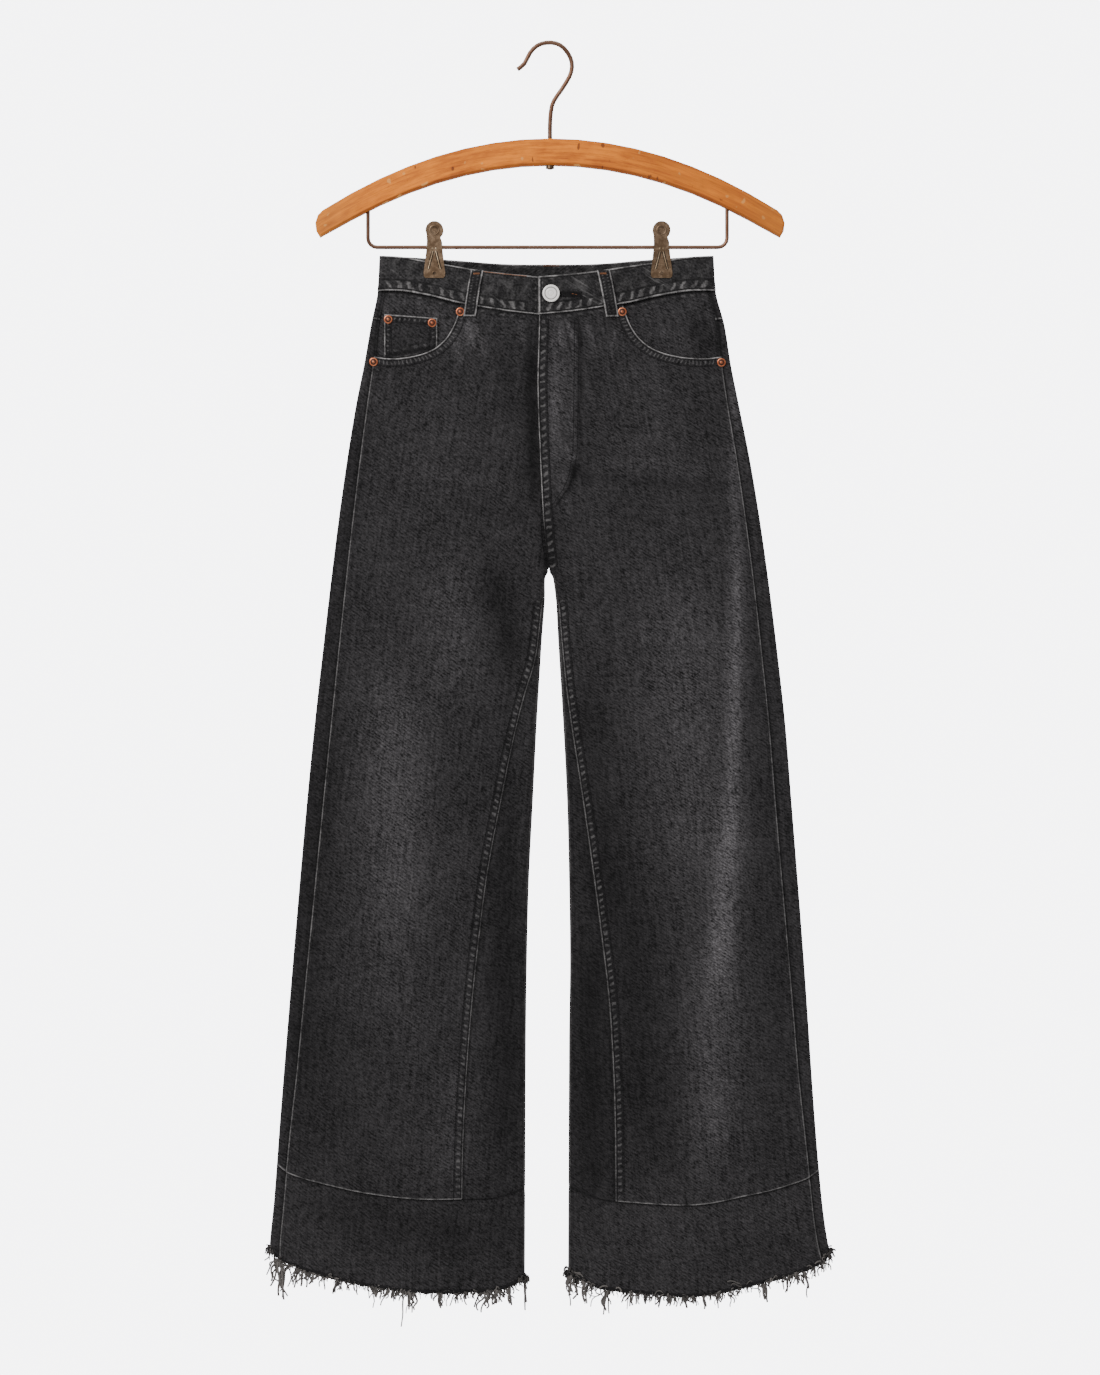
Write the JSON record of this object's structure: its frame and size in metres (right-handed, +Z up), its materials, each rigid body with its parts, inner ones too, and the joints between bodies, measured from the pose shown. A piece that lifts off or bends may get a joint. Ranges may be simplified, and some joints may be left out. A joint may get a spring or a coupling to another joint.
{
  "type": "denim culottes on a wooden trouser hanger",
  "caption": "Wide-leg washed denim culottes with frayed hems, hung by the waistband from the clips of an arched wooden hanger.",
  "frame": {"origin": "inside top of the hanger's hook, where a rail or a nail carries it, in the middle plane of the garment", "axes": "+Z up, the front of the garment faces -Y, +X is to the right of someone who looks at its front"},
  "size_m": [0.5684, 0.0673, 1.2776],
  "materials": {
    "denim": "washed black denim, matte twill",
    "fray": "frayed cotton threads",
    "wood": "honey-brown varnish, worn",
    "bronze": "aged dark bronze plating",
    "copper": "copper, satin",
    "nickel": "satin nickel"
  },
  "bodies": {
    "root": {"front_right_upper": "denim", "front_right_middle": "denim", "front_right_lower": "denim", "front_left_upper": "denim", "front_left_middle": "denim", "front_left_lower": "denim", "back_right_upper": "denim", "back_right_middle": "denim", "back_right_lower": "denim", "back_left_upper": "denim", "back_left_middle": "denim", "back_left_lower": "denim", "back_yoke_right": "denim", "back_yoke_left": "denim", "gusset_front_right": "denim", "hem_band_front_right": "denim", "gusset_front_left": "denim", "hem_band_front_left": "denim", "gusset_back_right": "denim", "hem_band_back_right": "denim", "gusset_back_left": "denim", "hem_band_back_left": "denim", "waistband": "denim", "pocket_facing_right": "denim", "pocket_facing_left": "denim", "coin_pocket": "denim", "back_pocket_right": "denim", "back_pocket_left": "denim", "belt_loop_1": "denim", "belt_loop_2": "denim", "belt_loop_3": "denim", "belt_loop_4": "denim", "belt_loop_5": "denim", "fringe_front_right": "fray", "fringe_front_left": "fray", "fringe_back_right": "fray", "fringe_back_left": "fray", "button": "nickel", "rivet_1": "copper", "rivet_2": "copper", "rivet_3": "copper", "rivet_4": "copper", "rivet_5": "copper", "rivet_6": "copper", "hanger_arm": "wood", "hook": "bronze", "hook_nut": "bronze", "trouser_bar": "bronze", "clip_front_right": "bronze", "clip_front_left": "bronze", "clip_back_right": "bronze", "clip_back_left": "bronze", "clip_spring_right": "bronze", "clip_spring_left": "bronze"}
  },
  "joints": []
}
